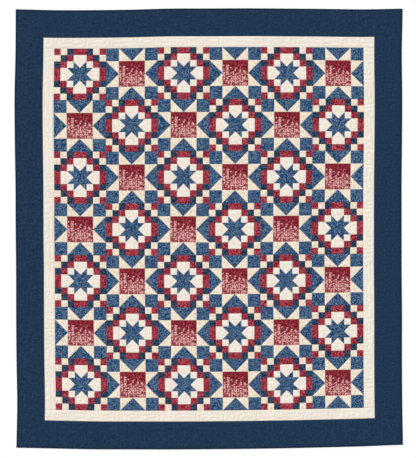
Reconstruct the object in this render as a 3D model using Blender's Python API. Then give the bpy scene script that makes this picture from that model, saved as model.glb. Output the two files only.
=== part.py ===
"""A pieced bed quilt lying flat, face up: patchwork panel, two borders and a bound edge."""

import math
import random
from collections import namedtuple

import bmesh
import bpy
from mathutils import Vector

# Sizes in metres
UNIT = 0.0381
INNER_BORDER = 0.0635
OUTER_BORDER = 0.1556
BINDING = 0.0095
PIECE_GAP = 0.0003
SEAM_THICKNESS = 0.0030
BINDING_THICKNESS = 0.0042
BINDING_EDGE_THICKNESS = 0.0022
PUFF = 0.0026

# Layout of the panel in blocks, and of a block in units
COLUMNS = 6
ROWS = 7
BLOCK_UNITS = 8

# Half sizes of the nested rectangles that the seams run along
PANEL_HALF = Vector((COLUMNS, ROWS)) * BLOCK_UNITS * UNIT / 2
INNER_HALF = PANEL_HALF + Vector((INNER_BORDER, INNER_BORDER))
OUTER_HALF = INNER_HALF + Vector((OUTER_BORDER, OUTER_BORDER))
EDGE_HALF = OUTER_HALF + Vector((BINDING, BINDING))

# About how long a cell of each kind of strip is
INNER_CELL = 0.062
OUTER_CELL = 0.052
BINDING_CELL = 0.064

# How unevenly the quilting fills out, as shares of a cell and of the puff
CELL_JITTER = 0.16
PUFF_SPREAD = 0.25
CROSSING_LIFT = 0.30
PUFF_SEED = 11

# Angle between faces over which an edge is drawn sharp, and the least share that is off a rim
SHARP_ANGLE = math.radians(50)
OFF_RIM = 1e-4

# How far the real edges lie off straight lines, in millimetres.
# Across the width, from left to right: how much higher each end edge lies.
EndStation = namedtuple("EndStation", "top bottom")
END_EDGES = [
    EndStation(-1.0, 2.0),
    EndStation(-6.1, -2.5),
    EndStation(-5.9, -7.1),
    EndStation(-3.0, -7.7),
    EndStation(3.4, -8.1),
    EndStation(4.0, -6.6),
    EndStation(4.9, -4.5),
    EndStation(3.4, -0.8),
    EndStation(1.4, 4.5),
    EndStation(-1.1, 10.7),
    EndStation(2.7, 19.3),
]
# Along the length, from bottom to top: how much further right each side edge lies.
SideStation = namedtuple("SideStation", "left right")
SIDE_EDGES = [
    SideStation(4.9, 0.1),
    SideStation(9.4, -4.0),
    SideStation(5.2, -5.5),
    SideStation(3.1, -5.2),
    SideStation(2.8, -7.4),
    SideStation(0.2, -7.6),
    SideStation(-1.0, -7.7),
    SideStation(-5.0, -5.2),
    SideStation(-6.4, -4.0),
    SideStation(-0.9, -6.4),
    SideStation(0.4, -1.6),
]

# How far the seams inside drift off, while the outline stays: greatest shift in millimetres,
# and into how many bulges it falls across the width and along the length
Drift = namedtuple("Drift", "right up bulges_across bulges_along")
DRIFTS = [
    Drift(4.6, -1.1, 1, 1),
    Drift(0.4, 1.1, 2, 1),
    Drift(-2.6, -1.8, 1, 2),
    Drift(1.0, -0.2, 2, 2),
    Drift(0.3, 1.3, 3, 1),
    Drift(2.4, 0.9, 1, 3),
]

# Fabrics: base colour and roughness
Fabric = namedtuple("Fabric", "name colour roughness")
FABRICS = {
    "R": Fabric("red_print", (0.340, 0.030, 0.050), 0.90),
    "C": Fabric("cream", (0.900, 0.790, 0.610), 0.92),
    "N": Fabric("dark_navy_print", (0.014, 0.036, 0.082), 0.90),
    "W": Fabric("ivory", (0.880, 0.800, 0.700), 0.92),
    "S": Fabric("blue_print", (0.060, 0.130, 0.260), 0.90),
    "P": Fabric("dark_red_print", (0.210, 0.010, 0.030), 0.90),
    "B": Fabric("plain_navy", (0.019, 0.040, 0.084), 0.92),
}
PANEL_FABRICS = ["R", "C", "N", "W", "S", "P"]

# Patches of a block in units from its top left corner.
# A quarter holds the patches that are turned four times about the block's centre.
Patch = namedtuple("Patch", "fabric corners")


def rectangle(fabric, left, top, right, bottom):
    return Patch(fabric, ((left, top), (right, top), (right, bottom), (left, bottom)))


CHAIN_QUARTER = [
    rectangle("R", 0, 0, 1, 1),
    rectangle("C", 1, 0, 2, 1),
    rectangle("N", 2, 0, 3, 1),
    rectangle("R", 3, 0, 5, 1),
    rectangle("C", 0, 1, 1, 2),
    rectangle("N", 1, 1, 2, 2),
    rectangle("R", 2, 1, 3, 2),
    rectangle("W", 3, 1, 5, 2),
    rectangle("N", 0, 2, 1, 3),
    rectangle("R", 1, 2, 2, 3),
    rectangle("W", 2, 2, 3, 3),
    Patch("W", ((3, 2), (5, 2), (4, 3))),
    Patch("S", ((3, 2), (4, 3), (3, 3))),
    Patch("S", ((5, 2), (5, 3), (4, 3))),
]
CHAIN_CENTRE = [rectangle("S", 3, 3, 5, 5)]

STAR_QUARTER = [
    rectangle("S", 0, 0, 2, 2),
    Patch("S", ((2, 0), (6, 0), (4, 2))),
    Patch("C", ((2, 0), (4, 2), (2, 2))),
    Patch("C", ((6, 0), (6, 2), (4, 2))),
]
STAR_CENTRE = [rectangle("P", 2, 2, 6, 6)]


def quarter_turn(patch):
    """The patch turned a quarter about the block's centre."""
    return Patch(patch.fabric, tuple((BLOCK_UNITS - y, x) for x, y in patch.corners))


def whole_block(quarter, centre):
    """All patches of a block, from those of one quarter and of the centre."""
    patches = list(centre)
    turned = quarter
    for _ in range(4):
        patches += turned
        turned = [quarter_turn(patch) for patch in turned]
    return patches


CHAIN_BLOCK = whole_block(CHAIN_QUARTER, CHAIN_CENTRE)
STAR_BLOCK = whole_block(STAR_QUARTER, STAR_CENTRE)


def smooth_read(values, share):
    """Reads evenly spaced values along a smooth curve, at a share from 0 to 1."""
    place = min(max(share, 0.0), 1.0) * (len(values) - 1)
    index = min(int(place), len(values) - 2)
    t = place - index
    before, here, after, beyond = (
        values[min(max(index + step, 0), len(values) - 1)] for step in (-1, 0, 1, 2)
    )
    slope_here = (after - before) / 2
    slope_after = (beyond - here) / 2
    return (
        here * (1 + 2 * t) * (1 - t) ** 2
        + slope_here * t * (1 - t) ** 2
        + after * t * t * (3 - 2 * t)
        - slope_after * t * t * (1 - t)
    )


def uneven(x, y):
    """Moves a point of the exactly rectangular plan to where the real cloth lies."""
    across = (x + EDGE_HALF.x) / (2 * EDGE_HALF.x)
    along = (y + EDGE_HALF.y) / (2 * EDGE_HALF.y)
    left = smooth_read([station.left for station in SIDE_EDGES], along)
    right = smooth_read([station.right for station in SIDE_EDGES], along)
    top = smooth_read([station.top for station in END_EDGES], across)
    bottom = smooth_read([station.bottom for station in END_EDGES], across)
    shift_x = left + (right - left) * across
    shift_y = bottom + (top - bottom) * along
    for drift in DRIFTS:
        bulge = math.sin(math.pi * drift.bulges_across * across)
        bulge *= math.sin(math.pi * drift.bulges_along * along)
        shift_x += drift.right * bulge
        shift_y += drift.up * bulge
    return x + shift_x / 1000, y + shift_y / 1000


def puff_height(rng, share=1.0):
    """Height of a quilted puff's top over the floor."""
    return SEAM_THICKNESS + PUFF * share * (1 + PUFF_SPREAD * rng.uniform(-1, 1))


def shrink(corners, by):
    """Moves every side of a counter-clockwise convex outline inwards."""
    moved = []
    for index, corner in enumerate(corners):
        before = (corner - corners[index - 1]).normalized()
        after = (corners[(index + 1) % len(corners)] - corner).normalized()
        inward_a = Vector((-before.y, before.x))
        inward_b = Vector((-after.y, after.x))
        moved.append(corner + (inward_a + inward_b) * by / (1 + inward_a.dot(inward_b)))
    return moved


def close_below(bm):
    """Closes a raised sheet with a rim down to the floor and a flat underside."""
    rim = [edge for edge in bm.edges if edge.is_boundary]
    walls = bmesh.ops.extrude_edge_only(bm, edges=rim)["geom"]
    for item in walls:
        if isinstance(item, bmesh.types.BMVert):
            item.co.z = 0.0
    lower_rim = [edge for edge in bm.edges if edge.is_boundary]
    bmesh.ops.holes_fill(bm, edges=lower_rim, sides=0)
    bmesh.ops.triangulate(bm, faces=bm.faces, quad_method="LONG_EDGE", ngon_method="BEAUTY")
    bmesh.ops.recalc_face_normals(bm, faces=bm.faces)


def fabric_material(key):
    """The material of one fabric, made once."""
    fabric = FABRICS[key]
    material = bpy.data.materials.get(fabric.name)
    if material is None:
        material = bpy.data.materials.new(fabric.name)
        material.use_nodes = True
        shader = material.node_tree.nodes["Principled BSDF"]
        shader.inputs["Base Color"].default_value = (*fabric.colour, 1.0)
        shader.inputs["Roughness"].default_value = fabric.roughness
        shader.inputs["Metallic"].default_value = 0.0
    return material


# A finished piece before it is an object: its mesh, node name and fabrics
Piece = namedtuple("Piece", "bm name fabrics")


def make_object(piece, collection, parent):
    """Turns a finished piece into a named object with its origin at its own middle."""
    bm = piece.bm
    xs = [vert.co.x for vert in bm.verts]
    ys = [vert.co.y for vert in bm.verts]
    middle = Vector(((min(xs) + max(xs)) / 2, (min(ys) + max(ys)) / 2, 0.0))
    bmesh.ops.translate(bm, verts=bm.verts, vec=-middle)
    mesh = bpy.data.meshes.new(piece.name)
    bm.to_mesh(mesh)
    bm.free()
    for key in piece.fabrics:
        mesh.materials.append(fabric_material(key))
    mesh.shade_smooth()
    mesh.set_sharp_from_angle(angle=SHARP_ANGLE)
    cloth = bpy.data.objects.new(piece.name, mesh)
    cloth.location = middle
    cloth.parent = parent
    collection.objects.link(cloth)


# A border or the binding: four strips between two nested rectangles
Ring = namedtuple("Ring", "name inner outer mitred cell rows outer_height puffed fabric")
RINGS = [
    Ring("inner_border", PANEL_HALF, INNER_HALF, False, INNER_CELL, 1, SEAM_THICKNESS, True, "W"),
    Ring("outer_border", INNER_HALF, OUTER_HALF, False, OUTER_CELL, 3, SEAM_THICKNESS, True, "B"),
    Ring("binding", OUTER_HALF, EDGE_HALF, True, BINDING_CELL, 2, BINDING_EDGE_THICKNESS, False, "B"),
]


def strip_height(ring, v, inside, in_middle, rng):
    """Height of a strip's point: low at its seams and edges, raised between them."""
    if in_middle:
        return puff_height(rng)
    if inside and ring.puffed:
        return puff_height(rng, CROSSING_LIFT)
    if inside:
        return BINDING_THICKNESS
    return SEAM_THICKNESS + (ring.outer_height - SEAM_THICKNESS) * v


def build_strip(ring, side, rng):
    """One strip of a ring, as a quilted sheet or as the folded edge strip."""
    corners = shrink(ring_corners(ring, side), PIECE_GAP / 2)
    inner_start, outer_start, outer_end, inner_end = corners
    columns = round((outer_end - outer_start).length / ring.cell)
    bm = bmesh.new()
    bmesh.ops.create_grid(bm, x_segments=columns, y_segments=ring.rows, size=0.5)
    middles = set()
    if ring.puffed:
        middles = set(bmesh.ops.poke(bm, faces=bm.faces)["verts"])
    reach = Vector((1 / columns, 1 / ring.rows)) * CELL_JITTER
    for vert in bm.verts:
        u = vert.co.x + 0.5
        v = vert.co.y + 0.5
        inside = min(u, 1 - u, v, 1 - v) > OFF_RIM
        if ring.puffed and inside:
            u += reach.x * rng.uniform(-1, 1)
            v += reach.y * rng.uniform(-1, 1)
        height = strip_height(ring, v, inside, vert in middles, rng)
        start = inner_start.lerp(outer_start, v)
        end = inner_end.lerp(outer_end, v)
        place = start.lerp(end, u)
        vert.co = (*uneven(place.x, place.y), height)
    close_below(bm)
    return bm


def ring_corners(ring, side):
    """Corners of one side's strip, counter-clockwise: along its inner side and back outside.

    Butted end strips run the full width and side strips lie between them.
    """
    inner, outer = ring.inner, ring.outer
    if side in ("top", "bottom"):
        inner_reach = inner.x if ring.mitred else outer.x
        corners = [
            Vector((inner_reach, inner.y)),
            Vector((outer.x, outer.y)),
            Vector((-outer.x, outer.y)),
            Vector((-inner_reach, inner.y)),
        ]
    else:
        outer_reach = outer.y if ring.mitred else inner.y
        corners = [
            Vector((inner.x, -inner.y)),
            Vector((outer.x, -outer_reach)),
            Vector((outer.x, outer_reach)),
            Vector((inner.x, inner.y)),
        ]
    if side in ("bottom", "left"):
        corners = [-corner for corner in corners]
    return corners


def lattice_point(column, row):
    """A corner of a unit, counted from the panel's top left, on the exactly straight plan."""
    limit = PANEL_HALF - Vector((PIECE_GAP, PIECE_GAP)) / 2
    x = column * UNIT - PANEL_HALF.x
    y = PANEL_HALF.y - row * UNIT
    return Vector((min(max(x, -limit.x), limit.x), min(max(y, -limit.y), limit.y)))


def holds(patch, point):
    """Whether a point in block units lies inside a convex patch."""
    sides = []
    for index, corner in enumerate(patch.corners):
        ahead = patch.corners[(index + 1) % len(patch.corners)]
        sides.append(
            (ahead[0] - corner[0]) * (point[1] - corner[1])
            - (ahead[1] - corner[1]) * (point[0] - corner[0])
        )
    return all(side > 0 for side in sides) or all(side < 0 for side in sides)


def patch_sides(patches):
    """Start and end of each side of each patch, in block units."""
    for patch in patches:
        for index, start in enumerate(patch.corners):
            yield start, patch.corners[(index + 1) % len(patch.corners)]


def split_diagonals(bm, corner_at, patches, column, row):
    """Cuts the units that a block's slanting seams cross."""
    for start, end in patch_sides(patches):
        steps = abs(end[0] - start[0])
        if steps == 0 or steps != abs(end[1] - start[1]):
            continue
        step = ((end[0] - start[0]) // steps, (end[1] - start[1]) // steps)
        for count in range(steps):
            x = column + start[0] + step[0] * count
            y = row + start[1] + step[1] * count
            one = corner_at[x, y]
            other = corner_at[x + step[0], y + step[1]]
            if bm.edges.get((one, other)) is None:
                face = next(f for f in one.link_faces if other in f.verts)
                bmesh.utils.face_split(face, one, other)


def block_patches(column, row):
    """The patches of one block: chain and star blocks lie by turns."""
    return CHAIN_BLOCK if (row + column) % 2 == 0 else STAR_BLOCK


def cut_patches():
    """The panel's units as a flat mesh, cut along all seams and numbered by patch."""
    units = (COLUMNS * BLOCK_UNITS, ROWS * BLOCK_UNITS)
    bm = bmesh.new()
    bmesh.ops.create_grid(bm, x_segments=units[0], y_segments=units[1], size=0.5)
    corner_at = {}
    for vert in bm.verts:
        column = round((vert.co.x + 0.5) * units[0])
        row = round((0.5 - vert.co.y) * units[1])
        corner_at[column, row] = vert
        vert.co = (column, row, 0.0)
    for row in range(ROWS):
        for column in range(COLUMNS):
            patches = block_patches(column, row)
            split_diagonals(bm, corner_at, patches, column * BLOCK_UNITS, row * BLOCK_UNITS)

    patch_layer = bm.faces.layers.int.new("patch")
    most = max(len(CHAIN_BLOCK), len(STAR_BLOCK))
    for face in bm.faces:
        middle = face.calc_center_median()
        column, row = int(middle.x // BLOCK_UNITS), int(middle.y // BLOCK_UNITS)
        place = (middle.x - column * BLOCK_UNITS, middle.y - row * BLOCK_UNITS)
        for index, patch in enumerate(block_patches(column, row)):
            if holds(patch, place):
                face[patch_layer] = (row * COLUMNS + column) * most + index
                face.material_index = PANEL_FABRICS.index(patch.fabric)
    return bm, patch_layer


def raised_points(bm, patch_layer):
    """The points inside patches, where a patch without one first gets one in its middle."""
    inside = set()
    broad = set()
    for vert in bm.verts:
        patches = {face[patch_layer] for face in vert.link_faces}
        if len(patches) == 1 and not vert.is_boundary:
            inside.add(vert)
            broad |= patches
    spare_edges = [
        edge
        for edge in bm.edges
        if len({face[patch_layer] for face in edge.link_faces}) == 1
        and not edge.is_boundary
        and edge.link_faces[0][patch_layer] not in broad
    ]
    bmesh.ops.dissolve_edges(bm, edges=spare_edges, use_verts=False)
    small = [face for face in bm.faces if face[patch_layer] not in broad]
    return inside | set(bmesh.ops.poke(bm, faces=small)["verts"])


def build_panel(rng):
    """The pieced centre: low seams round every patch, and raised cloth inside it."""
    bm, patch_layer = cut_patches()
    raised = raised_points(bm, patch_layer)
    for vert in bm.verts:
        column, row = vert.co.x, vert.co.y
        height = SEAM_THICKNESS
        if vert in raised:
            column += CELL_JITTER * rng.uniform(-1, 1) / 2
            row += CELL_JITTER * rng.uniform(-1, 1) / 2
            height = puff_height(rng)
        flat = lattice_point(column, row)
        vert.co = (*uneven(flat.x, flat.y), height)
    close_below(bm)
    return bm


def build_pieces(rng):
    """All pieces of the quilt, each with its name and fabrics."""
    pieces = [Piece(build_panel(rng), "patchwork_panel", PANEL_FABRICS)]
    for ring in RINGS:
        for side in ("left", "right", "top", "bottom"):
            strip = build_strip(ring, side, rng)
            pieces.append(Piece(strip, f"{ring.name}_{side}", [ring.fabric]))
    return pieces


def centre_all(pieces):
    """Moves all pieces together so that their common box is centred on the origin."""
    xs = [vert.co.x for piece in pieces for vert in piece.bm.verts]
    ys = [vert.co.y for piece in pieces for vert in piece.bm.verts]
    shift = Vector((-(min(xs) + max(xs)) / 2, -(min(ys) + max(ys)) / 2, 0.0))
    for piece in pieces:
        bmesh.ops.translate(piece.bm, verts=piece.bm.verts, vec=shift)


def main():
    for old in list(bpy.data.objects):
        bpy.data.objects.remove(old, do_unlink=True)
    collection = bpy.data.collections.new("quilt")
    bpy.context.scene.collection.children.link(collection)
    parent = bpy.data.objects.new("quilt", None)
    collection.objects.link(parent)

    pieces = build_pieces(random.Random(PUFF_SEED))
    centre_all(pieces)
    for piece in pieces:
        make_object(piece, collection, parent)


main()
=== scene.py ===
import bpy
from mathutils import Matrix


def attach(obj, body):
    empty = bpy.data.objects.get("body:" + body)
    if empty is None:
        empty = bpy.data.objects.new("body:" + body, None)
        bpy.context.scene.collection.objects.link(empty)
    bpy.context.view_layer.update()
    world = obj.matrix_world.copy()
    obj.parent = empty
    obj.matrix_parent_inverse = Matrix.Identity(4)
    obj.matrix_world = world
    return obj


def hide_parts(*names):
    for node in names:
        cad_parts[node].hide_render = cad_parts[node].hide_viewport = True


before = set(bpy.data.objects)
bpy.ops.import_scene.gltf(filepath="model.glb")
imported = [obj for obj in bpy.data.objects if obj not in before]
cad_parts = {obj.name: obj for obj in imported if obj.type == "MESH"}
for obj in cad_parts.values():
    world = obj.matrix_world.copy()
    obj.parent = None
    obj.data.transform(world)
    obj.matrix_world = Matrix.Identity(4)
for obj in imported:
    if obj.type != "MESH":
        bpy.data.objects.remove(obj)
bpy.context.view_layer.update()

import math
import random
from collections import namedtuple

import bmesh
import bpy
import numpy as np
from mathutils import Vector, kdtree

# Sizes of the quilt in metres. Pieces sewn together stand apart by twice the inset.
UNIT = 0.0381
INNER_BORDER = 0.0635
OUTER_BORDER = 0.1556
BINDING = 0.0095
SEAM_THICKNESS = 0.0030
PUFF = 0.0026
PIECE_INSET = 0.00003

# Layout of the panel in blocks, of a block in units, and of a unit in mesh cells
COLUMNS = 6
ROWS = 7
BLOCK_UNITS = 8
UNIT_CELLS = 10

# Mesh of the strips: length of a cell of the borders and of the binding, and the binding's rows
BORDER_CELL = 0.0041
BINDING_CELL = 0.0045
BINDING_ROWS = 7

# Half sizes of the nested rectangles that the seams run along
PANEL_HALF = Vector((COLUMNS, ROWS)) * BLOCK_UNITS * UNIT / 2
INNER_HALF = PANEL_HALF + Vector((INNER_BORDER, INNER_BORDER))
OUTER_HALF = INNER_HALF + Vector((OUTER_BORDER, OUTER_BORDER))
EDGE_HALF = OUTER_HALF + Vector((BINDING, BINDING))

# The binding's fold: thickness, height of its outer rim, how square it is, and how far from its
# inner edge it is held down. Its puckers: height, length of one, and length of their drift.
BINDING_THICKNESS = 0.0044
BINDING_RIM = 0.0009
BINDING_SQUARENESS = 2.6
BINDING_HELD = 0.0016
BINDING_PUCKER = 0.00022
BINDING_PUCKER_LENGTH = 0.0085
BINDING_PUCKER_DRIFT = 0.05 * math.tau

# Quilting: one wandering line of stitches all over. The jitter is a share of the pitch, and the
# wander the chance that the line's tree grows on from its newest cell.
QUILT_PITCH = 0.0240
QUILT_JITTER = 0.30
QUILT_WANDER = 0.55
QUILT_SEED = 5
QUILT_ROUNDINGS = 3
STITCH_LENGTH = 0.0030

# Half widths of the valleys at stitches and seams, and the share of a puff that a seam takes off
STITCH_VALLEY = 0.0048
SEAM_VALLEY = 0.0050
SEAM_DIP = 0.85

# A distance from the line at which nothing of it shows, for cloth that it does not cross
STITCH_FREE = 0.0120

# Puckers beside the stitches: height, length of one, length of their drift, and reach
PUCKER_HEIGHT = 0.0010
PUCKER_LENGTH = 0.0125
PUCKER_DRIFT = 0.0710
PUCKER_REACH = 0.0060

# Cloth surface: weave, yarn, wrinkles, stitched creases and seam ditches, in metres. Shades are
# shares of the cloth's brightness. The yarn's noise has a scale a metre, detail and roughness.
THREAD_PITCH = 0.00055
WEAVE_HEIGHT = 0.000010
WEAVE_SHADE = 0.02
YARN_NOISE = (420, 3.0, 0.6)
YARN_SPREAD = (0.25, 0.75)
YARN_SHADES = (0.965, 1.035)
Wrinkles = namedtuple("Wrinkles", "scale height")
WRINKLES = [Wrinkles(60, 0.0012), Wrinkles(150, 0.0005)]
CREASE_WIDTH = 0.0032
CREASE_DEPTH = 0.0004
# Painted shade: how much darker the colour is painted in a stitched crease, where shade falls
CREASE_PAINTED_SHADE = 0.05
DITCH_WIDTH = 0.0012
DITCH_DEPTH = 0.0006
# Painted shade: how much darker the colour is painted in a seam ditch, where shade falls
DITCH_PAINTED_SHADE = 0.08

# Stitches: the thread's width, how much it covers, and where in a stitch's wave it dips under
THREAD_WIDTH = 0.0005
THREAD_COVER = 0.5
THREAD_DIPS = (-0.7, -0.3)

# How far along its printed cloth a patch may be cut
CUT_REACH = 2.0

# The angle between faces from which an edge is drawn sharp
SHARP_ANGLE = math.radians(70)

# Shader values of dull cotton
COTTON = (
    ("Roughness", 0.92),
    ("Specular IOR Level", 0.06),
    ("Sheen Weight", 0.02),
    ("Sheen Roughness", 0.5),
)

# Light: strengths of the sky and of the low light, where that comes from and how wide it is
SKY_STRENGTH = 0.60
SUN_STRENGTH = 2.00
SUN_FROM = (-0.55, 0.70, 0.85)
SUN_ANGLE = math.radians(30)

# The floor: side, grey, and how far under the quilt it lies
FLOOR_SIZE = 300.0
FLOOR_GREY = 0.97
FLOOR_DROP = 0.0004

# Sockets of a colour Mix node
MIX_FIRST, MIX_SECOND, MIX_RESULT = 6, 7, 2

# How far the real edges lie off straight lines, in millimetres.
# Across the width, from left to right: how much higher each end edge lies.
EndStation = namedtuple("EndStation", "top bottom")
END_EDGES = [
    EndStation(-1.0, 2.0),
    EndStation(-6.1, -2.5),
    EndStation(-5.9, -7.1),
    EndStation(-3.0, -7.7),
    EndStation(3.4, -8.1),
    EndStation(4.0, -6.6),
    EndStation(4.9, -4.5),
    EndStation(3.4, -0.8),
    EndStation(1.4, 4.5),
    EndStation(-1.1, 10.7),
    EndStation(2.7, 19.3),
]
# Along the length, from bottom to top: how much further right each side edge lies.
SideStation = namedtuple("SideStation", "left right")
SIDE_EDGES = [
    SideStation(4.9, 0.1),
    SideStation(9.4, -4.0),
    SideStation(5.2, -5.5),
    SideStation(3.1, -5.2),
    SideStation(2.8, -7.4),
    SideStation(0.2, -7.6),
    SideStation(-1.0, -7.7),
    SideStation(-5.0, -5.2),
    SideStation(-6.4, -4.0),
    SideStation(-0.9, -6.4),
    SideStation(0.4, -1.6),
]

# At how many points of each edge the outline's box is measured
OUTLINE_POINTS = 801

# How far the seams inside drift off, while the outline stays: greatest shift in millimetres,
# and into how many bulges it falls across the width and along the length
Drift = namedtuple("Drift", "right up bulges_across bulges_along")
DRIFTS = [
    Drift(4.6, -1.1, 1, 1),
    Drift(0.4, 1.1, 2, 1),
    Drift(-2.6, -1.8, 1, 2),
    Drift(1.0, -0.2, 2, 2),
    Drift(0.3, 1.3, 3, 1),
    Drift(2.4, 0.9, 1, 3),
]

# Slow swells of the face, where the batting lies a little thicker
Swell = namedtuple("Swell", "height waves_across waves_along start")
SWELLS = [
    Swell(0.0003, 3.1, 1.7, 0.3),
    Swell(0.0003, -2.3, 4.4, 1.9),
    Swell(0.0002, 6.7, 5.2, 4.4),
]

# The camera looks straight down, in the frame of a photograph of 416 by 458 pixels
PHOTO_SIZE = (416, 458)
METRES_PER_PIXEL = 0.005903
QUILT_MIDDLE_PIXEL = (209.25, 228.6)
LENS_MM = 85
SENSOR_MM = 36
FAR_CLIP = 500

# Patches of a block in units from its top left corner.
# A quarter holds the patches that are turned four times about the block's centre.
Patch = namedtuple("Patch", "fabric corners")


def rectangle(fabric, left, top, right, bottom):
    return Patch(fabric, ((left, top), (right, top), (right, bottom), (left, bottom)))


CHAIN_QUARTER = [
    rectangle("red_print", 0, 0, 1, 1),
    rectangle("cream_print", 1, 0, 2, 1),
    rectangle("navy_print", 2, 0, 3, 1),
    rectangle("red_print", 3, 0, 5, 1),
    rectangle("cream_print", 0, 1, 1, 2),
    rectangle("navy_print", 1, 1, 2, 2),
    rectangle("red_print", 2, 1, 3, 2),
    rectangle("ivory_print", 3, 1, 5, 2),
    rectangle("navy_print", 0, 2, 1, 3),
    rectangle("red_print", 1, 2, 2, 3),
    rectangle("ivory_print", 2, 2, 3, 3),
    Patch("ivory_print", ((3, 2), (5, 2), (4, 3))),
    Patch("blue_print", ((3, 2), (4, 3), (3, 3))),
    Patch("blue_print", ((5, 2), (5, 3), (4, 3))),
]
CHAIN_CENTRE = [rectangle("blue_print", 3, 3, 5, 5)]

STAR_QUARTER = [
    rectangle("blue_print", 0, 0, 2, 2),
    Patch("blue_print", ((2, 0), (6, 0), (4, 2))),
    Patch("cream_print", ((2, 0), (4, 2), (2, 2))),
    Patch("cream_print", ((6, 0), (6, 2), (4, 2))),
]
STAR_CENTRE = [rectangle("spray_print", 2, 2, 6, 6)]
BLOCK_FABRICS = ["red_print", "cream_print", "navy_print", "ivory_print", "blue_print", "spray_print"]
BACK_FABRIC = "navy_back"


def quarter_turn(patch):
    """The patch turned a quarter about the block's centre."""
    return Patch(patch.fabric, tuple((BLOCK_UNITS - y, x) for x, y in patch.corners))


def whole_block(quarter, centre):
    """All patches of a block, from those of one quarter and of the centre."""
    patches = list(centre)
    turned = quarter
    for _ in range(4):
        patches += turned
        turned = [quarter_turn(patch) for patch in turned]
    return patches


# Placing: from the straight plan to where the cloth lies


def smooth_read(values, share):
    """Reads evenly spaced values along a smooth curve, at shares from 0 to 1."""
    values = np.asarray(values, float)
    padded = np.concatenate((values[:1], values, values[-1:]))
    place = np.clip(share, 0.0, 1.0) * (len(values) - 1)
    index = np.minimum(place.astype(int), len(values) - 2)
    t = place - index
    before, here, after, beyond = (padded[index + step] for step in range(4))
    slope_here = (after - before) / 2
    slope_after = (beyond - here) / 2
    return (
        here * (1 + 2 * t) * (1 - t) ** 2
        + slope_here * t * (1 - t) ** 2
        + after * t * t * (3 - 2 * t)
        - slope_after * t * t * (1 - t)
    )


def shares(x, y):
    """How far across and along the quilt points of the plan are, from 0 to 1."""
    across = (x + EDGE_HALF.x) / (2 * EDGE_HALF.x)
    along = (y + EDGE_HALF.y) / (2 * EDGE_HALF.y)
    return across, along


def uneven(x, y):
    """Moves points of the exactly rectangular plan to where the real cloth lies."""
    across, along = shares(x, y)
    left = smooth_read([station.left for station in SIDE_EDGES], along)
    right = smooth_read([station.right for station in SIDE_EDGES], along)
    top = smooth_read([station.top for station in END_EDGES], across)
    bottom = smooth_read([station.bottom for station in END_EDGES], across)
    shift_x = left + (right - left) * across
    shift_y = bottom + (top - bottom) * along
    for drift in DRIFTS:
        bulge = np.sin(math.pi * drift.bulges_across * across)
        bulge *= np.sin(math.pi * drift.bulges_along * along)
        shift_x += drift.right * bulge
        shift_y += drift.up * bulge
    return x + shift_x / 1000, y + shift_y / 1000


def outline_middle():
    """The middle of the uneven outline's box, which lies on the origin."""
    share = np.linspace(-1, 1, OUTLINE_POINTS)
    side = np.ones_like(share)
    x = np.concatenate((share, share, side, -side)) * EDGE_HALF.x
    y = np.concatenate((side, -side, share, share)) * EDGE_HALF.y
    x, y = uneven(x, y)
    return (x.min() + x.max()) / 2, (y.min() + y.max()) / 2


MIDDLE = outline_middle()


def lay(x, y):
    """Where points of the plan lie in the row frame."""
    x, y = uneven(x, y)
    return x - MIDDLE[0], y - MIDDLE[1]


# The quilting line: a closed path round a random tree, so that it fills the quilt without crossing


def random_tree(columns, rows, rng):
    """Links between neighbouring cells that join all cells and close no loop."""
    links = set()
    seen = {(columns // 2, rows // 2)}
    active = list(seen)
    while active:
        index = -1 if rng.random() < QUILT_WANDER else rng.randrange(len(active))
        x, y = active[index]
        around = [(x + 1, y), (x - 1, y), (x, y + 1), (x, y - 1)]
        fresh = [c for c in around if 0 <= c[0] < columns and 0 <= c[1] < rows and c not in seen]
        if not fresh:
            active.pop(index)
            continue
        chosen = rng.choice(fresh)
        links |= {((x, y), chosen), (chosen, (x, y))}
        seen.add(chosen)
        active.append(chosen)
    return links


def path_goes(links, x, y, dx, dy):
    """Whether the path round the tree runs from one quarter cell to its neighbour."""
    cell = (x // 2, y // 2)
    other = ((x + dx) // 2, (y + dy) // 2)
    if cell != other:
        return (cell, other) in links
    if dx:
        beside = (cell[0], cell[1] + (1 if y % 2 else -1))
    else:
        beside = (cell[0] + (1 if x % 2 else -1), cell[1])
    return (cell, beside) not in links


def quilting_line():
    """Points of the stitched line in the plan, in metres, round one closed path."""
    rng = random.Random(QUILT_SEED)
    columns = round(EDGE_HALF.x / QUILT_PITCH)
    rows = round(EDGE_HALF.y / QUILT_PITCH)
    links = random_tree(columns, rows, rng)
    place, came_from = (0, 0), None
    path = []
    while not path or place != path[0]:
        path.append(place)
        for dx, dy in ((1, 0), (0, 1), (-1, 0), (0, -1)):
            ahead = (place[0] + dx, place[1] + dy)
            if ahead != came_from and path_goes(links, *place, dx, dy):
                came_from, place = place, ahead
                break
    steps = np.array(path, float) + 0.5
    steps += [[rng.uniform(-1, 1) * QUILT_JITTER for _ in range(2)] for _ in path]
    line = steps * [EDGE_HALF.x / columns, EDGE_HALF.y / rows] - list(EDGE_HALF)
    # Each rounding cuts every corner off at a quarter of its sides
    for _ in range(QUILT_ROUNDINGS):
        ahead = np.roll(line, -1, axis=0)
        corners = np.stack((0.75 * line + 0.25 * ahead, 0.25 * line + 0.75 * ahead), axis=1)
        line = corners.reshape(-1, 2)
    return line


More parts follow.
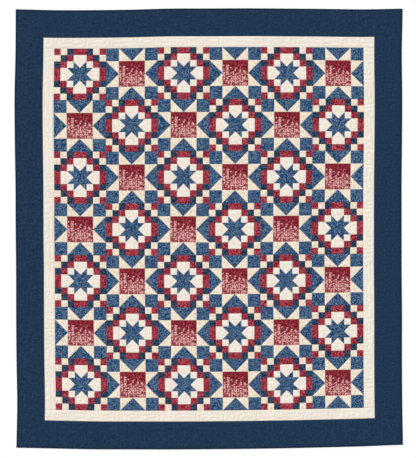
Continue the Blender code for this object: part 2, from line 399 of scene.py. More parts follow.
class Quilting:
    """Reads how far points of the plan lie from the stitched line, and where along it."""

    def __init__(self):
        self.line = quilting_line()
        ahead = np.roll(self.line, -1, axis=0)
        step = ahead - self.line
        length = np.linalg.norm(step, axis=1)
        self.along = np.cumsum(length) - length
        tangent = ahead - np.roll(self.line, 1, axis=0)
        self.tangent = tangent / np.linalg.norm(tangent, axis=1)[:, None]
        self.tree = kdtree.KDTree(len(self.line))
        for index, (x, y) in enumerate(self.line):
            self.tree.insert((x, y, 0.0), index)
        self.tree.balance()

    def read(self, x, y):
        """Signed distance from the line and length along it, both in metres."""
        found = [self.tree.find((a, b, 0.0))[1] for a, b in zip(x.tolist(), y.tolist())]
        offset = np.stack((x, y), axis=1) - self.line[found]
        tangent = self.tangent[found]
        signed = tangent[:, 0] * offset[:, 1] - tangent[:, 1] * offset[:, 0]
        along = self.along[found] + (tangent * offset).sum(axis=1)
        return signed, along


# Meshes


def uneven_wave(distance, length, drift):
    """A wave of about one length, which gets shorter and longer again over a drift."""
    return np.sin(math.tau * distance / length + 2 * np.sin(math.tau * distance / drift))


def face_height(x, y, signed, thread, seam):
    """Height of the quilt's face: puffs between the stitches, valleys at stitches and seams."""
    across, along = shares(x, y)
    puff = signed**2 / (signed**2 + STITCH_VALLEY**2)
    near_seam = np.exp(-((seam / SEAM_VALLEY) ** 2))
    height = SEAM_THICKNESS + PUFF * puff * (1 - SEAM_DIP * near_seam)
    pucker = PUCKER_HEIGHT * uneven_wave(thread, PUCKER_LENGTH, PUCKER_DRIFT)
    pucker *= np.exp(-((signed / PUCKER_REACH) ** 2))
    height += pucker * puff * (1 - near_seam)
    for swell in SWELLS:
        turn = math.tau * (swell.waves_across * across + swell.waves_along * along)
        height += swell.height * np.sin(turn + swell.start) * (1 - near_seam)
    return height


def add_rim(bm):
    """Adds the side walls of a sheet; their lower points lie at z = -1 for now."""
    rim = [edge for edge in bm.edges if edge.is_boundary]
    for item in bmesh.ops.extrude_edge_only(bm, edges=rim)["geom"]:
        if isinstance(item, bmesh.types.BMVert):
            item.co.z = -1.0


def close_below(mesh, back_slot):
    """Closes a placed sheet with a flat underside, and turns all its faces outwards."""
    bm = bmesh.new()
    bm.from_mesh(mesh)
    lower_rim = [edge for edge in bm.edges if edge.is_boundary]
    underside = bmesh.ops.holes_fill(bm, edges=lower_rim, sides=0)["faces"]
    underside = bmesh.ops.triangulate(bm, faces=underside, ngon_method="BEAUTY")["faces"]
    for face in underside:
        face.material_index = back_slot
    bmesh.ops.recalc_face_normals(bm, faces=bm.faces)
    bm.to_mesh(mesh)
    bm.free()


def read_points(mesh):
    """A mesh's points as rows of x, y and z."""
    flat = np.empty(len(mesh.vertices) * 3, np.float32)
    mesh.vertices.foreach_get("co", flat)
    return flat.reshape(-1, 3).astype(float)


def add_numbers(mesh, name, domain, values):
    """Stores numbers or vectors on a mesh, for its materials to read."""
    vectors = values.ndim == 2
    layer = mesh.attributes.new(name, "FLOAT_VECTOR" if vectors else "FLOAT", domain)
    layer.data.foreach_set("vector" if vectors else "value", values.astype(np.float32).ravel())


def dress(mesh, fabrics, x, y, height, signed, along, seam):
    """Puts a mesh's points in their place and gives it its cloth and what that needs to know."""
    laid_x, laid_y = lay(x, y)
    mesh.vertices.foreach_set(
        "co", np.stack((laid_x, laid_y, height), axis=1).astype(np.float32).ravel()
    )
    for name in (*fabrics, BACK_FABRIC):
        mesh.materials.append(bpy.data.materials[name])
    close_below(mesh, len(fabrics))
    add_numbers(mesh, "stitch", "POINT", signed)
    add_numbers(mesh, "thread", "POINT", along)
    add_numbers(mesh, "seam", "POINT", seam)
    add_numbers(mesh, "place", "POINT", np.stack((x, y, np.zeros_like(x)), axis=1))
    mesh.shade_smooth()
    mesh.set_sharp_from_angle(angle=SHARP_ANGLE)
    mesh.update()


def holds(patch, point):
    """Whether a point in block units lies inside a convex patch."""
    sides = []
    for index, corner in enumerate(patch.corners):
        ahead = patch.corners[(index + 1) % len(patch.corners)]
        sides.append(
            (ahead[0] - corner[0]) * (point[1] - corner[1])
            - (ahead[1] - corner[1]) * (point[0] - corner[0])
        )
    return all(side > 0 for side in sides) or all(side < 0 for side in sides)


def patch_sides(patches):
    """Start and end of each side of each patch."""
    for patch in patches:
        for index, start in enumerate(patch.corners):
            yield start, patch.corners[(index + 1) % len(patch.corners)]


def split_diagonals(bm, corner_at, patches):
    """Cuts the mesh cells that a slanting seam crosses."""
    for start, end in patch_sides(patches):
        steps = abs(end[0] - start[0])
        if steps == 0 or steps != abs(end[1] - start[1]):
            continue
        step = ((end[0] - start[0]) // steps, (end[1] - start[1]) // steps)
        for count in range(steps * UNIT_CELLS):
            x = start[0] * UNIT_CELLS + step[0] * count
            y = start[1] * UNIT_CELLS + step[1] * count
            one = corner_at[x, y]
            other = corner_at[x + step[0], y + step[1]]
            if bm.edges.get((one, other)) is None:
                face = next(f for f in one.link_faces if other in f.verts)
                bmesh.utils.face_split(face, one, other)


def seam_distance(points, patches):
    """Distance of points in block units from the nearest seam, in metres."""
    nearest = np.full(len(points), np.inf)
    for start, end in patch_sides(patches):
        start, side = np.array(start, float), np.subtract(end, start).astype(float)
        share = np.clip((points - start) @ side / (side @ side), 0, 1)
        nearest = np.minimum(
            nearest, np.linalg.norm(points - start - share[:, None] * side, axis=1)
        )
    return nearest * UNIT


Template = namedtuple("Template", "mesh points lower seam patches")


def block_template(name, patches):
    """One kind of block as a flat mesh in units, with a fabric for each patch."""
    cells = BLOCK_UNITS * UNIT_CELLS
    bm = bmesh.new()
    bmesh.ops.create_grid(bm, x_segments=cells, y_segments=cells, size=0.5)
    corner_at = {}
    for vert in bm.verts:
        column, row = round((vert.co.x + 0.5) * cells), round((0.5 - vert.co.y) * cells)
        corner_at[column, row] = vert
        vert.co = (column / UNIT_CELLS, -row / UNIT_CELLS, 0.0)
    split_diagonals(bm, corner_at, patches)
    patch_layer = bm.faces.layers.int.new("patch")
    for face in bm.faces:
        middle = face.calc_center_median()
        found = next(i for i, p in enumerate(patches) if holds(p, (middle.x, -middle.y)))
        face[patch_layer] = found
        face.material_index = BLOCK_FABRICS.index(patches[found].fabric)
    add_rim(bm)
    mesh = bpy.data.meshes.new(name)
    bm.to_mesh(mesh)
    bm.free()
    points = read_points(mesh)
    plan = np.stack((points[:, 0], -points[:, 1]), axis=1)
    seam = seam_distance(plan, patches)
    return Template(mesh, plan, points[:, 2] < 0, seam, patches)


def random_cut(rng):
    """A random shift from the quilt to the printed cloth, in metres."""
    return [rng.uniform(-CUT_REACH, CUT_REACH) for _ in range(3)]


def cut_whole(mesh, rng):
    """Marks a whole mesh as cut from one place of its cloth."""
    add_numbers(mesh, "cut", "FACE", np.tile(random_cut(rng), (len(mesh.polygons), 1)))


def fabric_cuts(mesh, patches, rng, left, top):
    """For each face, the shift from its place on the quilt to its place on its printed cloth."""
    cuts = []
    for patch in patches:
        if patch.fabric == "spray_print":
            middle = np.mean(patch.corners, axis=0) * UNIT
            slip_x, slip_y = rng.uniform(-1, 1) * SPRAY_SLIP, rng.uniform(-1, 1) * SPRAY_SLIP
            cuts.append((-left - middle[0] + slip_x, middle[1] - top + slip_y, 0.0))
        else:
            cuts.append(random_cut(rng))
    patch_of_face = np.empty(len(mesh.polygons), np.int32)
    mesh.attributes["patch"].data.foreach_get("value", patch_of_face)
    return np.array(cuts)[patch_of_face]


def build_block(template, column, row, quilting, rng):
    """One sewn block of the panel, in its place."""
    mesh = template.mesh.copy()
    left = column * BLOCK_UNITS * UNIT - PANEL_HALF.x
    top = PANEL_HALF.y - row * BLOCK_UNITS * UNIT
    rim = PIECE_INSET / UNIT
    plan = np.clip(template.points, rim, BLOCK_UNITS - rim)
    x = left + plan[:, 0] * UNIT
    y = top - plan[:, 1] * UNIT
    signed, along = quilting.read(x, y)
    height = face_height(x, y, signed, along, template.seam)
    height[template.lower] = 0.0
    dress(mesh, BLOCK_FABRICS, x, y, height, signed, along, template.seam)
    add_numbers(mesh, "cut", "FACE", fabric_cuts(mesh, template.patches, rng, left, top))
    block = bpy.data.objects.new(f"block_row{row + 1}_col{column + 1}", mesh)
    bpy.context.scene.collection.objects.link(block)
    return block


def strip_grid(columns, rows):
    """A mesh grid with side walls, each point's share along and across, and which lie below."""
    bm = bmesh.new()
    bmesh.ops.create_grid(bm, x_segments=columns, y_segments=rows, size=0.5)
    add_rim(bm)
    mesh = bpy.data.meshes.new("strip")
    bm.to_mesh(mesh)
    bm.free()
    points = read_points(mesh)
    u, v = points[:, 0] + 0.5, points[:, 1] + 0.5
    return mesh, u, v, points[:, 2] < 0


def across_strip(corners, u, v):
    """Points at shares u along and v across a strip, from its inner to its outer side."""
    inner_start, outer_start, outer_end, inner_end = (np.array(corner) for corner in corners)
    start = inner_start + (outer_start - inner_start) * v[:, None]
    end = inner_end + (outer_end - inner_end) * v[:, None]
    place = start + (end - start) * u[:, None]
    return place[:, 0], place[:, 1]


def strip_corners(inner, outer, side, mitred):
    """Corners of one side's strip between two nested rectangles, counter-clockwise.

    Butted end strips run the full width and side strips lie between them.
    """
    if side in ("top", "bottom"):
        inner_reach = inner.x if mitred else outer.x
        corners = [
            Vector((inner_reach, inner.y)),
            Vector((outer.x, outer.y)),
            Vector((-outer.x, outer.y)),
            Vector((-inner_reach, inner.y)),
        ]
    else:
        outer_reach = outer.y if mitred else inner.y
        corners = [
            Vector((inner.x, -inner.y)),
            Vector((outer.x, -outer_reach)),
            Vector((outer.x, outer_reach)),
            Vector((inner.x, inner.y)),
        ]
    if side in ("bottom", "left"):
        corners = [-corner for corner in corners]
    return corners


Ring = namedtuple("Ring", "name inner outer fabric")
INNER_RING = Ring("inner_border", PANEL_HALF, INNER_HALF, "ivory_plain")
OUTER_RING = Ring("outer_border", INNER_HALF, OUTER_HALF, "navy_plain")


def build_border(ring, side, quilting, rng):
    """One strip of a border, quilted like the rest."""
    corners = strip_corners(ring.inner, ring.outer, side, mitred=False)
    length = (corners[2] - corners[1]).length
    width = (corners[1] - corners[0]).length
    columns, rows = round(length / BORDER_CELL), round(width / BORDER_CELL)
    mesh, u, v, lower = strip_grid(columns, rows)
    rim = PIECE_INSET / width
    x, y = across_strip(corners, u, np.clip(v, rim, 1 - rim))
    signed, along = quilting.read(x, y)
    seam = np.minimum(np.minimum(v, 1 - v) * width, np.minimum(u, 1 - u) * length)
    height = face_height(x, y, signed, along, seam)
    height[lower] = 0.0
    dress(mesh, [ring.fabric], x, y, height, signed, along, seam)
    cut_whole(mesh, rng)
    strip = bpy.data.objects.new(f"{ring.name}_{side}_cloth", mesh)
    bpy.context.scene.collection.objects.link(strip)
    return strip, (length, width)


def build_binding(side, rng):
    """The folded edge strip: a flat inner edge sewn down, and a round outer edge."""
    corners = strip_corners(OUTER_HALF, EDGE_HALF, side, mitred=True)
    length = (corners[2] - corners[1]).length
    mesh, u, v, lower = strip_grid(round(length / BINDING_CELL), BINDING_ROWS)
    v = np.sin(v * math.pi / 2)
    x, y = across_strip(corners, u, v)
    roundness = np.sqrt(np.clip(1 - v**BINDING_SQUARENESS, 0, 1))
    raised = 1 - np.exp(-((v * BINDING / BINDING_HELD) ** 2))
    pucker = BINDING_PUCKER * uneven_wave(u * length, BINDING_PUCKER_LENGTH, BINDING_PUCKER_DRIFT)
    over_seam = (BINDING_THICKNESS - SEAM_THICKNESS + pucker) * raised
    height = BINDING_RIM + (SEAM_THICKNESS - BINDING_RIM + over_seam) * roundness
    height[lower] = 0.0
    seam = v * BINDING
    signed = np.full_like(x, STITCH_FREE)
    # The binding wears the navy painted darker, as painted shade of its round edge
    dress(mesh, ["binding_navy_shaded"], x, y, height, signed, u * length, seam)
    cut_whole(mesh, rng)
    strip = bpy.data.objects.new(f"binding_{side}_cloth", mesh)
    bpy.context.scene.collection.objects.link(strip)
    return strip


# Materials


def linear(red, green, blue):
    """A screen colour from 0 to 255 as the linear colour that shaders use."""
    parts = []
    for value in (red, green, blue):
        share = value / 255
        parts.append(share / 12.92 if share <= 0.04045 else ((share + 0.055) / 1.055) ** 2.4)
    return (*parts, 1.0)


class Cloth:
    """One fabric's material, with short helpers that add its nodes."""

    def __init__(self, name):
        self.material = bpy.data.materials.new(name)
        self.material.use_nodes = True
        self.nodes = self.material.node_tree.nodes
        self.links = self.material.node_tree.links
        self.shader = self.nodes["Principled BSDF"]

    def put(self, socket, value):
        """Sets a socket to a number, vector or colour, or links it to another socket."""
        if isinstance(value, bpy.types.NodeSocket):
            self.links.new(value, socket)
        elif value is not None:
            socket.default_value = value

    def math(self, operation, *values):
        node = self.nodes.new("ShaderNodeMath")
        node.operation = operation
        for socket, value in zip(node.inputs, values):
            self.put(socket, value)
        return node.outputs[0]

    def vector(self, operation, first, second=None, scale=None):
        node = self.nodes.new("ShaderNodeVectorMath")
        node.operation = operation
        self.put(node.inputs[0], first)
        self.put(node.inputs[1], second)
        if scale is not None:
            self.put(node.inputs["Scale"], scale)
        return node.outputs["Value" if operation == "LENGTH" else "Vector"]

    def read(self, name, output="Fac"):
        node = self.nodes.new("ShaderNodeAttribute")
        node.attribute_name = name
        return node.outputs[output]

    def noise(self, at, scale, detail=2.0, roughness=0.5):
        node = self.nodes.new("ShaderNodeTexNoise")
        self.put(node.inputs["Vector"], at)
        self.put(node.inputs["Scale"], scale)
        self.put(node.inputs["Detail"], detail)
        self.put(node.inputs["Roughness"], roughness)
        return node.outputs["Fac"]

    def ramp(self, value, low, high, from_value=0.0, to_value=1.0):
        """Goes smoothly from one value to another while the input goes from low to high."""
        node = self.nodes.new("ShaderNodeMapRange")
        node.interpolation_type = "SMOOTHSTEP"
        for socket, number in zip(node.inputs, (value, low, high, from_value, to_value)):
            self.put(socket, number)
        return node.outputs["Result"]

    def mix(self, share, first, second):
        node = self.nodes.new("ShaderNodeMix")
        node.data_type = "RGBA"
        self.put(node.inputs["Factor"], share)
        self.put(node.inputs[MIX_FIRST], first)
        self.put(node.inputs[MIX_SECOND], second)
        return node.outputs[MIX_RESULT]

    def turn(self, at, angle):
        node = self.nodes.new("ShaderNodeVectorRotate")
        node.rotation_type = "Z_AXIS"
        self.put(node.inputs["Vector"], at)
        self.put(node.inputs["Angle"], angle)
        return node.outputs["Vector"]

    def parts(self, vector):
        node = self.nodes.new("ShaderNodeSeparateXYZ")
        self.put(node.inputs["Vector"], vector)
        return node.outputs["X"], node.outputs["Y"], node.outputs["Z"]

    def printed_place(self):
        """Where a point of a patch lies on the printed cloth that it was cut from."""
        return self.vector("ADD", self.read("place", "Vector"), self.read("cut", "Vector"))

    def weave(self, place):
        """Crossing threads, from -1 to 1, and the shade that they and their uneven yarn give."""
        x, y, _ = self.parts(place)
        warp = self.math("SINE", self.math("MULTIPLY", x, math.tau / THREAD_PITCH))
        weft = self.math("SINE", self.math("MULTIPLY", y, math.tau / THREAD_PITCH))
        weave = self.math("MULTIPLY", warp, weft)
        yarn = self.ramp(self.noise(place, *YARN_NOISE), *YARN_SPREAD, *YARN_SHADES)
        return weave, self.math("ADD", yarn, self.math("MULTIPLY", weave, WEAVE_SHADE))

    def stitches(self):
        """How deep in a stitched crease a point lies, and whether a stitch of thread is on it."""
        from_stitch = self.math("ABSOLUTE", self.read("stitch"))
        crease = self.ramp(from_stitch, 0.0, CREASE_WIDTH, 1.0, 0.0)
        along = self.math("MULTIPLY", self.read("thread"), math.tau / STITCH_LENGTH)
        over = self.ramp(self.math("SINE", along), *THREAD_DIPS)
        on_line = self.ramp(from_stitch, THREAD_WIDTH / 2, THREAD_WIDTH, 1.0, 0.0)
        return crease, self.math("MULTIPLY", on_line, over)

    def surface(self, colour, height):
        """Sets the shader: its colour, a bump of a height in metres, and the dull look of cotton."""
        bump = self.nodes.new("ShaderNodeBump")
        bump.inputs["Strength"].default_value = 1.0
        bump.inputs["Distance"].default_value = 1.0
        self.put(bump.inputs["Height"], height)
        self.put(self.shader.inputs["Normal"], bump.outputs["Normal"])
        self.put(self.shader.inputs["Base Color"], colour)
        for name, value in COTTON:
            self.shader.inputs[name].default_value = value

    def finish(self, colour, thread):
        """Adds the weave, the stitched creases, the seams and the wrinkles to a fabric's colour, with
        shade painted darker into the creases and the seam ditches.
        """
        place = self.read("place", "Vector")
        weave, shade = self.weave(place)
        crease, sewn = self.stitches()
        ditch = self.ramp(self.read("seam"), 0.0, DITCH_WIDTH, 1.0, 0.0)
        # Painted shade: the colour is darkened in the stitched creases
        shade = self.math("SUBTRACT", shade, self.math("MULTIPLY", crease, CREASE_PAINTED_SHADE))
        # Painted shade: the colour is darkened in the seam ditches
        shade = self.math("SUBTRACT", shade, self.math("MULTIPLY", ditch, DITCH_PAINTED_SHADE))
        colour = self.vector("SCALE", colour, scale=shade)
        colour = self.mix(self.math("MULTIPLY", sewn, THREAD_COVER), colour, thread)

        height = self.math("MULTIPLY", weave, WEAVE_HEIGHT)
        for wrinkles in WRINKLES:
            wrinkle = self.math("MULTIPLY", self.noise(place, wrinkles.scale), wrinkles.height)
            height = self.math("ADD", height, wrinkle)
        height = self.math("SUBTRACT", height, self.math("MULTIPLY", crease, CREASE_DEPTH))
        height = self.math("SUBTRACT", height, self.math("MULTIPLY", ditch, DITCH_DEPTH))
        height = self.math("ADD", height, self.math("MULTIPLY", sewn, THREAD_WIDTH / 2))
        self.surface(colour, height)

    def finish_plain(self, colour):
        """Adds the weave alone to a fabric's colour."""
        weave, shade = self.weave(self.read("place", "Vector"))
        colour = self.vector("SCALE", colour, scale=shade)
        self.surface(colour, self.math("MULTIPLY", weave, WEAVE_HEIGHT))


# Motifs. An edge is where a motif begins to fade out, as a share of its size.
PETALS = 5
PETAL_DEPTH = 0.26
BLOSSOM_SCATTER = 0.75
MOTIF_EDGE = 0.80


def random_cells(cloth, at, scale, scatter):
    """Splits cloth into random cells: the place from a cell's middle, a chance and an angle."""
    node = cloth.nodes.new("ShaderNodeTexVoronoi")
    node.voronoi_dimensions = "2D"
    cloth.put(node.inputs["Vector"], at)
    cloth.put(node.inputs["Scale"], scale)
    cloth.put(node.inputs["Randomness"], scatter)
    chance, spin, _ = cloth.parts(node.outputs["Color"])
    local = cloth.vector("SUBTRACT", at, node.outputs["Position"])
    local = cloth.vector("MULTIPLY", local, (1.0, 1.0, 0.0))
    return local, chance, cloth.math("MULTIPLY", spin, math.tau)


def blossoms(cloth, at, scale, size):
    """Blossoms, one in each random cell: how far a point is out from its middle, and a chance."""
    local, chance, angle = random_cells(cloth, at, scale, BLOSSOM_SCATTER)
    x, y, _ = cloth.parts(local)
    turn = cloth.math("MULTIPLY_ADD", cloth.math("ARCTAN2", y, x), PETALS, angle)
    wave = cloth.math("COSINE", turn)
    reach = cloth.math("MULTIPLY_ADD", wave, PETAL_DEPTH * size, (1 - PETAL_DEPTH) * size)
    return cloth.math("DIVIDE", cloth.vector("LENGTH", local), reach), chance


def leaves(cloth, at, scale, length, width, scatter):
    """Pointed leaves, one in each random cell: how far out, how far off the midrib, a chance."""
    local, chance, angle = random_cells(cloth, at, scale, scatter)
    x, y, _ = cloth.parts(cloth.turn(local, angle))
    side = cloth.math("DIVIDE", cloth.math("ABSOLUTE", y), width)
    share = cloth.math("DIVIDE", x, length)
    out = cloth.math("ADD", side, cloth.math("MULTIPLY", share, share))
    return out, side, chance


def shown(cloth, out, chance, most, edge=MOTIF_EDGE):
    """1 on the motifs whose chance is under a share, 0 elsewhere."""
    inside = cloth.ramp(out, edge, 1.0, 1.0, 0.0)
    return cloth.math("MULTIPLY", inside, cloth.math("LESS_THAN", chance, most))


# Small prints: ground, thin curls and sprigs, one in each random cell, of which a share is shown
SmallPrint = namedtuple(
    "SmallPrint", "name ground ground_too curl curl_share sprig sprig_size blossoms shown thread"
)
SMALL_PRINTS = [
    SmallPrint(
        name="red_print",
        ground=linear(118, 0, 26),
        ground_too=linear(130, 12, 36),
        curl=linear(178, 84, 96),
        curl_share=0.40,
        sprig=linear(200, 98, 110),
        sprig_size=0.0036,
        blossoms=True,
        shown=0.38,
        thread=linear(150, 60, 70),
    ),
    SmallPrint(
        name="navy_print",
        ground=linear(9, 32, 61),
        ground_too=linear(19, 42, 69),
        curl=linear(74, 90, 108),
        curl_share=0.20,
        sprig=linear(98, 112, 130),
        sprig_size=0.0032,
        blossoms=False,
        shown=0.45,
        thread=linear(60, 75, 95),
    ),
    SmallPrint(
        name="blue_print",
        ground=linear(4, 48, 92),
        ground_too=linear(12, 58, 101),
        curl=linear(92, 120, 148),
        curl_share=0.30,
        sprig=linear(124, 148, 168),
        sprig_size=0.0036,
        blossoms=False,
        shown=0.45,
        thread=linear(85, 110, 140),
    ),
    SmallPrint(
        name="cream_print",
        ground=linear(244, 232, 213),
        ground_too=linear(249, 238, 221),
        curl=linear(214, 192, 162),
        curl_share=0.22,
        sprig=linear(216, 195, 168),
        sprig_size=0.0036,
        blossoms=True,
        shown=0.44,
        thread=linear(240, 230, 212),
    ),
    SmallPrint(
        name="ivory_print",
        ground=linear(243, 234, 222),
        ground_too=linear(247, 238, 227),
        curl=linear(220, 208, 190),
        curl_share=0.22,
        sprig=linear(220, 208, 190),
        sprig_size=0.0034,
        blossoms=False,
        shown=0.45,
        thread=linear(244, 238, 226),
    ),
]

# What the small prints share. Sprigs: cells a metre, how scattered the leaves among them are and
# how many times as long as wide. Curls: their noise, turns and edge. The ground: its noise.
SPRIG_SCALE = 200
SPRIG_SCATTER = 0.85
SPRIG_SLIMNESS = 2
CURL_NOISE = (140, 0.8)
CURL_TURNS = 2.4
CURL_EDGE = (0.55, 0.95)
GROUND_SCALE = 60


def curls(cloth, at):
    """Thin curling lines: 1 on a line and 0 between lines."""
    winding = cloth.math("MULTIPLY", cloth.noise(at, *CURL_NOISE), CURL_TURNS * math.tau)
    return cloth.ramp(cloth.math("SINE", winding), *CURL_EDGE)


def small_print(look):
    """A calico: a hardly uneven ground under curls and scattered blossoms or leaves."""
    cloth = Cloth(look.name)
    at = cloth.printed_place()
    colour = cloth.mix(cloth.noise(at, GROUND_SCALE), look.ground, look.ground_too)
    curl = cloth.math("MULTIPLY", curls(cloth, at), look.curl_share)
    colour = cloth.mix(curl, colour, look.curl)
    size = look.sprig_size
    if look.blossoms:
        out, chance = blossoms(cloth, at, SPRIG_SCALE, size)
    else:
        out, _, chance = leaves(cloth, at, SPRIG_SCALE, size, size / SPRIG_SLIMNESS, SPRIG_SCATTER)
    sprig = shown(cloth, out, chance, look.shown)
    cloth.finish(cloth.mix(sprig, colour, look.sprig), look.thread)


# Dyes that are a little uneven: their noise, the part of it between dark and light, and both ends
Dye = namedtuple("Dye", "scale detail roughness low high dark light")
IVORY_DYE = Dye(14, 2.0, 0.5, 0.35, 0.65, linear(234, 225, 211), linear(238, 230, 217))
NAVY_DYE = Dye(130, 3.0, 0.6, 0.25, 0.75, linear(20, 42, 66), linear(40, 63, 88))
# The binding's navy is the border's navy painted darker: painted shade of its rounded outer edge
BINDING_SHADED_NAVY = NAVY_DYE._replace(dark=linear(19, 40, 63), light=linear(26, 48, 72))
SPRAY_DYE = Dye(110, 2.0, 0.5, 0.38, 0.62, linear(100, 4, 23), linear(150, 53, 66))


def dyed(cloth, at, dye):
    noise = cloth.noise(at, dye.scale, dye.detail, dye.roughness)
    return cloth.mix(cloth.ramp(noise, dye.low, dye.high), dye.dark, dye.light)


def plain_cloth(name, dye, thread):
    """A plain fabric of one dye, sewn with its own thread."""
    cloth = Cloth(name)
    cloth.finish(dyed(cloth, cloth.printed_place(), dye), thread)


def plain_back():
    """The plain navy underside, on which no stitches or seams are drawn."""
    cloth = Cloth(BACK_FABRIC)
    cloth.finish_plain(dyed(cloth, cloth.read("place", "Vector"), NAVY_DYE))


# The spray print. Sizes are in metres, and places are counted from the middle of its square.
# A square is cut from it up to a slip off.
SPRAY_HALF = 2 * UNIT
SPRAY_SLIP = 0.003
SPRAY_THREAD = linear(150, 70, 80)

# The sprays' upper edge is a wave of one height and so many radians a metre. A fade begins at one
# depth and is full at another, in half squares, and covers at most a share. Noise is given by its
# scale a metre and its detail.
SPRAY_WAVE_HEIGHT = 0.016
SPRAY_WAVE_TURN = 62.0
Fade = namedtuple("Fade", "begin full most")
LUSH_FADE = Fade(0.80, -0.35, 0.72)
HAZE_FADE = Fade(0.10, -0.90, 0.35)
HAZE_NOISE = (55, 3.0)
HAZE_SPREAD = (0.40, 0.62)
HAZE_PAINT = linear(160, 66, 80)

# Stems: where each crosses the middle, how it leans and bends, and how high it reaches. They bend
# at so many radians a metre, fade out at their edge and tip, and cover a share of the ground.
SprayStem = namedtuple("SprayStem", "start lean bend top")
SPRAY_STEMS = [
    SprayStem(-0.046, -0.10, 0.0040, 0.048),
    SprayStem(0.030, 0.22, -0.0050, 0.036),
    SprayStem(-0.008, -0.25, 0.0035, 0.008),
    SprayStem(0.060, -0.12, 0.0030, 0.012),
]
STEM_TURN = 45.0
STEM_EDGE = (0.0007, 0.0014)
STEM_TIP = 0.004
STEM_COVER = 0.8
STEM_PAINT = linear(205, 140, 142)

# Leaves gather round the stems: how far from them, at most which share, and past their tips
LEAFY_EDGE = (0.004, 0.014)
LEAFY_MOST = 0.75
LEAFY_TIP = 0.006

# Leaves: cells a metre, half length and half width, colour. Their scatter is that of the cells.
# A midrib is fainter than its leaf, with its edge in shares of the half width.
SprayLeaf = namedtuple("SprayLeaf", "scale length width paint")
SPRAY_LEAVES = [
    SprayLeaf(100, 0.0054, 0.0024, linear(206, 126, 130)),
    SprayLeaf(74, 0.0074, 0.0033, linear(240, 192, 186)),
]
LEAF_SCATTER = 0.5
RIB_EDGE = (0.05, 0.22)
RIB_COVER = 0.45

# Blossoms: cells a metre, size, edge, how many there are beside the leaves, and their colours
# from the middle out, with the edges between those in shares of the size
BLOSSOM_SCALE = 40
BLOSSOM_SIZE = 0.0085
BLOSSOM_EDGE = 0.85
BLOSSOM_SHARE = 0.6
BLOSSOM_EYE = linear(242, 218, 200)
BLOSSOM_THROAT = linear(176, 92, 100)
BLOSSOM_PETAL = linear(236, 196, 190)
EYE_EDGE = (0.18, 0.26)
THROAT_EDGE = (0.25, 0.75)


def fading(cloth, depth, fade):
    """How full a fade is at a depth of the spray print."""
    return cloth.ramp(depth, fade.begin * SPRAY_HALF, fade.full * SPRAY_HALF, 0.0, fade.most)


def spray_stem(cloth, x, y, stem):
    """How much of a point one stem covers, and how leafy it is round it."""
    sway = cloth.math("SINE", cloth.math("MULTIPLY", y, STEM_TURN))
    sway = cloth.math("MULTIPLY", sway, stem.bend)
    route = cloth.math("ADD", cloth.math("MULTIPLY_ADD", y, stem.lean, stem.start), sway)
    beside = cloth.math("ABSOLUTE", cloth.math("SUBTRACT", x, route))
    on_stem = cloth.ramp(beside, *STEM_EDGE, 1.0, 0.0)
    on_stem = cloth.math("MULTIPLY", on_stem, cloth.ramp(y, stem.top, stem.top - STEM_TIP))
    leafy = cloth.ramp(beside, *LEAFY_EDGE, LEAFY_MOST, 0.0)
    below_tip = cloth.ramp(y, stem.top + LEAFY_TIP, stem.top - LEAFY_TIP)
    return on_stem, cloth.math("MULTIPLY", leafy, below_tip)


def spray_blossoms(cloth, at, lush, colour):
    """Adds the few large blossoms of the spray print to its colour."""
    out, chance = blossoms(cloth, at, BLOSSOM_SCALE, BLOSSOM_SIZE)
    flower = cloth.mix(cloth.ramp(out, *THROAT_EDGE), BLOSSOM_THROAT, BLOSSOM_PETAL)
    flower = cloth.mix(cloth.ramp(out, *EYE_EDGE, 1.0, 0.0), flower, BLOSSOM_EYE)
    most = cloth.math("MULTIPLY", lush, BLOSSOM_SHARE)
    return cloth.mix(shown(cloth, out, chance, most, BLOSSOM_EDGE), colour, flower)


def spray_print():
    """Dark red with pale sprays of leaves and blossoms that thicken towards the lower edge."""
    cloth = Cloth("spray_print")
    at = cloth.printed_place()
    x, y, _ = cloth.parts(at)
    wave = cloth.math("SINE", cloth.math("MULTIPLY", x, SPRAY_WAVE_TURN))
    depth = cloth.math("SUBTRACT", y, cloth.math("MULTIPLY", wave, SPRAY_WAVE_HEIGHT))
    haze = cloth.ramp(cloth.noise(at, *HAZE_NOISE), *HAZE_SPREAD)
    haze = cloth.math("MULTIPLY", haze, fading(cloth, depth, HAZE_FADE))
    colour = cloth.mix(haze, dyed(cloth, at, SPRAY_DYE), HAZE_PAINT)
    lush = fading(cloth, depth, LUSH_FADE)
    for stem in SPRAY_STEMS:
        on_stem, leafy = spray_stem(cloth, x, y, stem)
        colour = cloth.mix(cloth.math("MULTIPLY", on_stem, STEM_COVER), colour, STEM_PAINT)
        lush = cloth.math("MAXIMUM", lush, leafy)
    for leaf in SPRAY_LEAVES:
        out, side, chance = leaves(cloth, at, leaf.scale, leaf.length, leaf.width, LEAF_SCATTER)
        rib = cloth.ramp(side, *RIB_EDGE, RIB_COVER, 1.0)
        cover = cloth.math("MULTIPLY", shown(cloth, out, chance, lush), rib)
        colour = cloth.mix(cover, colour, leaf.paint)
    cloth.finish(spray_blossoms(cloth, at, lush, colour), SPRAY_THREAD)


def build_materials():
    for look in SMALL_PRINTS:
        small_print(look)
    spray_print()
    plain_cloth("ivory_plain", IVORY_DYE, linear(244, 238, 228))
    plain_cloth("navy_plain", NAVY_DYE, linear(48, 70, 96))
    plain_cloth("binding_navy_shaded", BINDING_SHADED_NAVY, linear(48, 70, 96))
    plain_back()


# Camera, light and floor


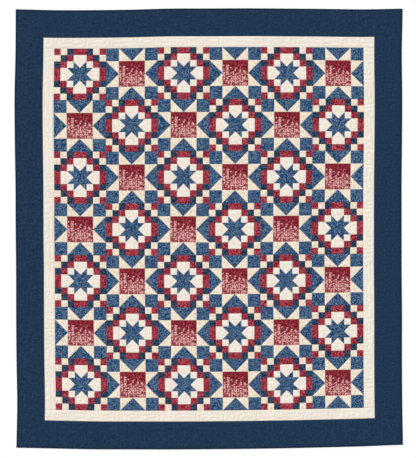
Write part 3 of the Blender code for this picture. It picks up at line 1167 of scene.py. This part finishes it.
def build_camera():
    """Looks straight down on the quilt, as far off as its lens needs for the photograph's frame."""
    width, height = PHOTO_SIZE
    camera = bpy.data.objects.new("camera", bpy.data.cameras.new("camera"))
    camera.data.lens = LENS_MM
    camera.data.sensor_width = SENSOR_MM
    camera.data.sensor_fit = "AUTO"
    distance = height * METRES_PER_PIXEL * LENS_MM / SENSOR_MM
    right = (width / 2 - QUILT_MIDDLE_PIXEL[0]) * METRES_PER_PIXEL
    up = (QUILT_MIDDLE_PIXEL[1] - height / 2) * METRES_PER_PIXEL
    camera.location = (right - MIDDLE[0], up - MIDDLE[1], distance)
    camera.data.clip_end = FAR_CLIP
    bpy.context.scene.collection.objects.link(camera)
    bpy.context.scene.camera = camera


def build_light():
    """An even pale sky and one soft light from the upper left, low enough to show the puffs."""
    world = bpy.data.worlds.new("studio")
    world.use_nodes = True
    world.node_tree.nodes["Background"].inputs["Color"].default_value = (1.0, 1.0, 1.0, 1.0)
    world.node_tree.nodes["Background"].inputs["Strength"].default_value = SKY_STRENGTH
    bpy.context.scene.world = world
    sun = bpy.data.objects.new("soft_light", bpy.data.lights.new("soft_light", "SUN"))
    sun.data.energy = SUN_STRENGTH
    sun.data.angle = SUN_ANGLE
    sun.rotation_euler = Vector(SUN_FROM).to_track_quat("Z", "Y").to_euler()
    bpy.context.scene.collection.objects.link(sun)


def build_floor():
    """A plain pale floor just under the quilt."""
    bm = bmesh.new()
    bmesh.ops.create_grid(bm, x_segments=1, y_segments=1, size=FLOOR_SIZE / 2)
    mesh = bpy.data.meshes.new("floor")
    bm.to_mesh(mesh)
    bm.free()
    floor = bpy.data.objects.new("floor", mesh)
    floor.location.z = -FLOOR_DROP
    material = bpy.data.materials.new("floor_white")
    material.use_nodes = True
    shader = material.node_tree.nodes["Principled BSDF"]
    shader.inputs["Base Color"].default_value = (FLOOR_GREY, FLOOR_GREY, FLOOR_GREY, 1.0)
    shader.inputs["Roughness"].default_value = 1.0
    shader.inputs["Specular IOR Level"].default_value = 0.0
    mesh.materials.append(material)
    bpy.context.scene.collection.objects.link(floor)
    return floor


def stand_for(piece, node):
    """Attaches a piece of cloth to the root body and hides the solid that it stands for."""
    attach(piece, "root")
    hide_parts(node)


def build_panel(quilting, rng):
    """The blocks of the patchwork, by turns of one kind and the other."""
    templates = [
        block_template("chain_block", whole_block(CHAIN_QUARTER, CHAIN_CENTRE)),
        block_template("star_block", whole_block(STAR_QUARTER, STAR_CENTRE)),
    ]
    for row in range(ROWS):
        for column in range(COLUMNS):
            block = build_block(templates[(row + column) % 2], column, row, quilting, rng)
            stand_for(block, "patchwork_panel")
    for template in templates:
        bpy.data.meshes.remove(template.mesh)


def build_frame(edge, quilting, rng):
    """The border strips and the binding along one edge of the quilt."""
    inner, flat = build_border(INNER_RING, edge, quilting, rng)
    stand_for(inner, f"inner_border_{edge}")
    outer, flat = build_border(OUTER_RING, edge, quilting, rng)
    stand_for(outer, f"outer_border_{edge}")
    binding = build_binding(edge, rng)
    stand_for(binding, f"binding_{edge}")


build_camera()
build_light()
build_materials()
rng = random.Random(QUILT_SEED)
quilting = Quilting()
floor = build_floor()
build_panel(quilting, rng)
for edge in ("left", "right", "top", "bottom"):
    build_frame(edge, quilting, rng)
bpy.context.scene.view_settings.view_transform = "Standard"
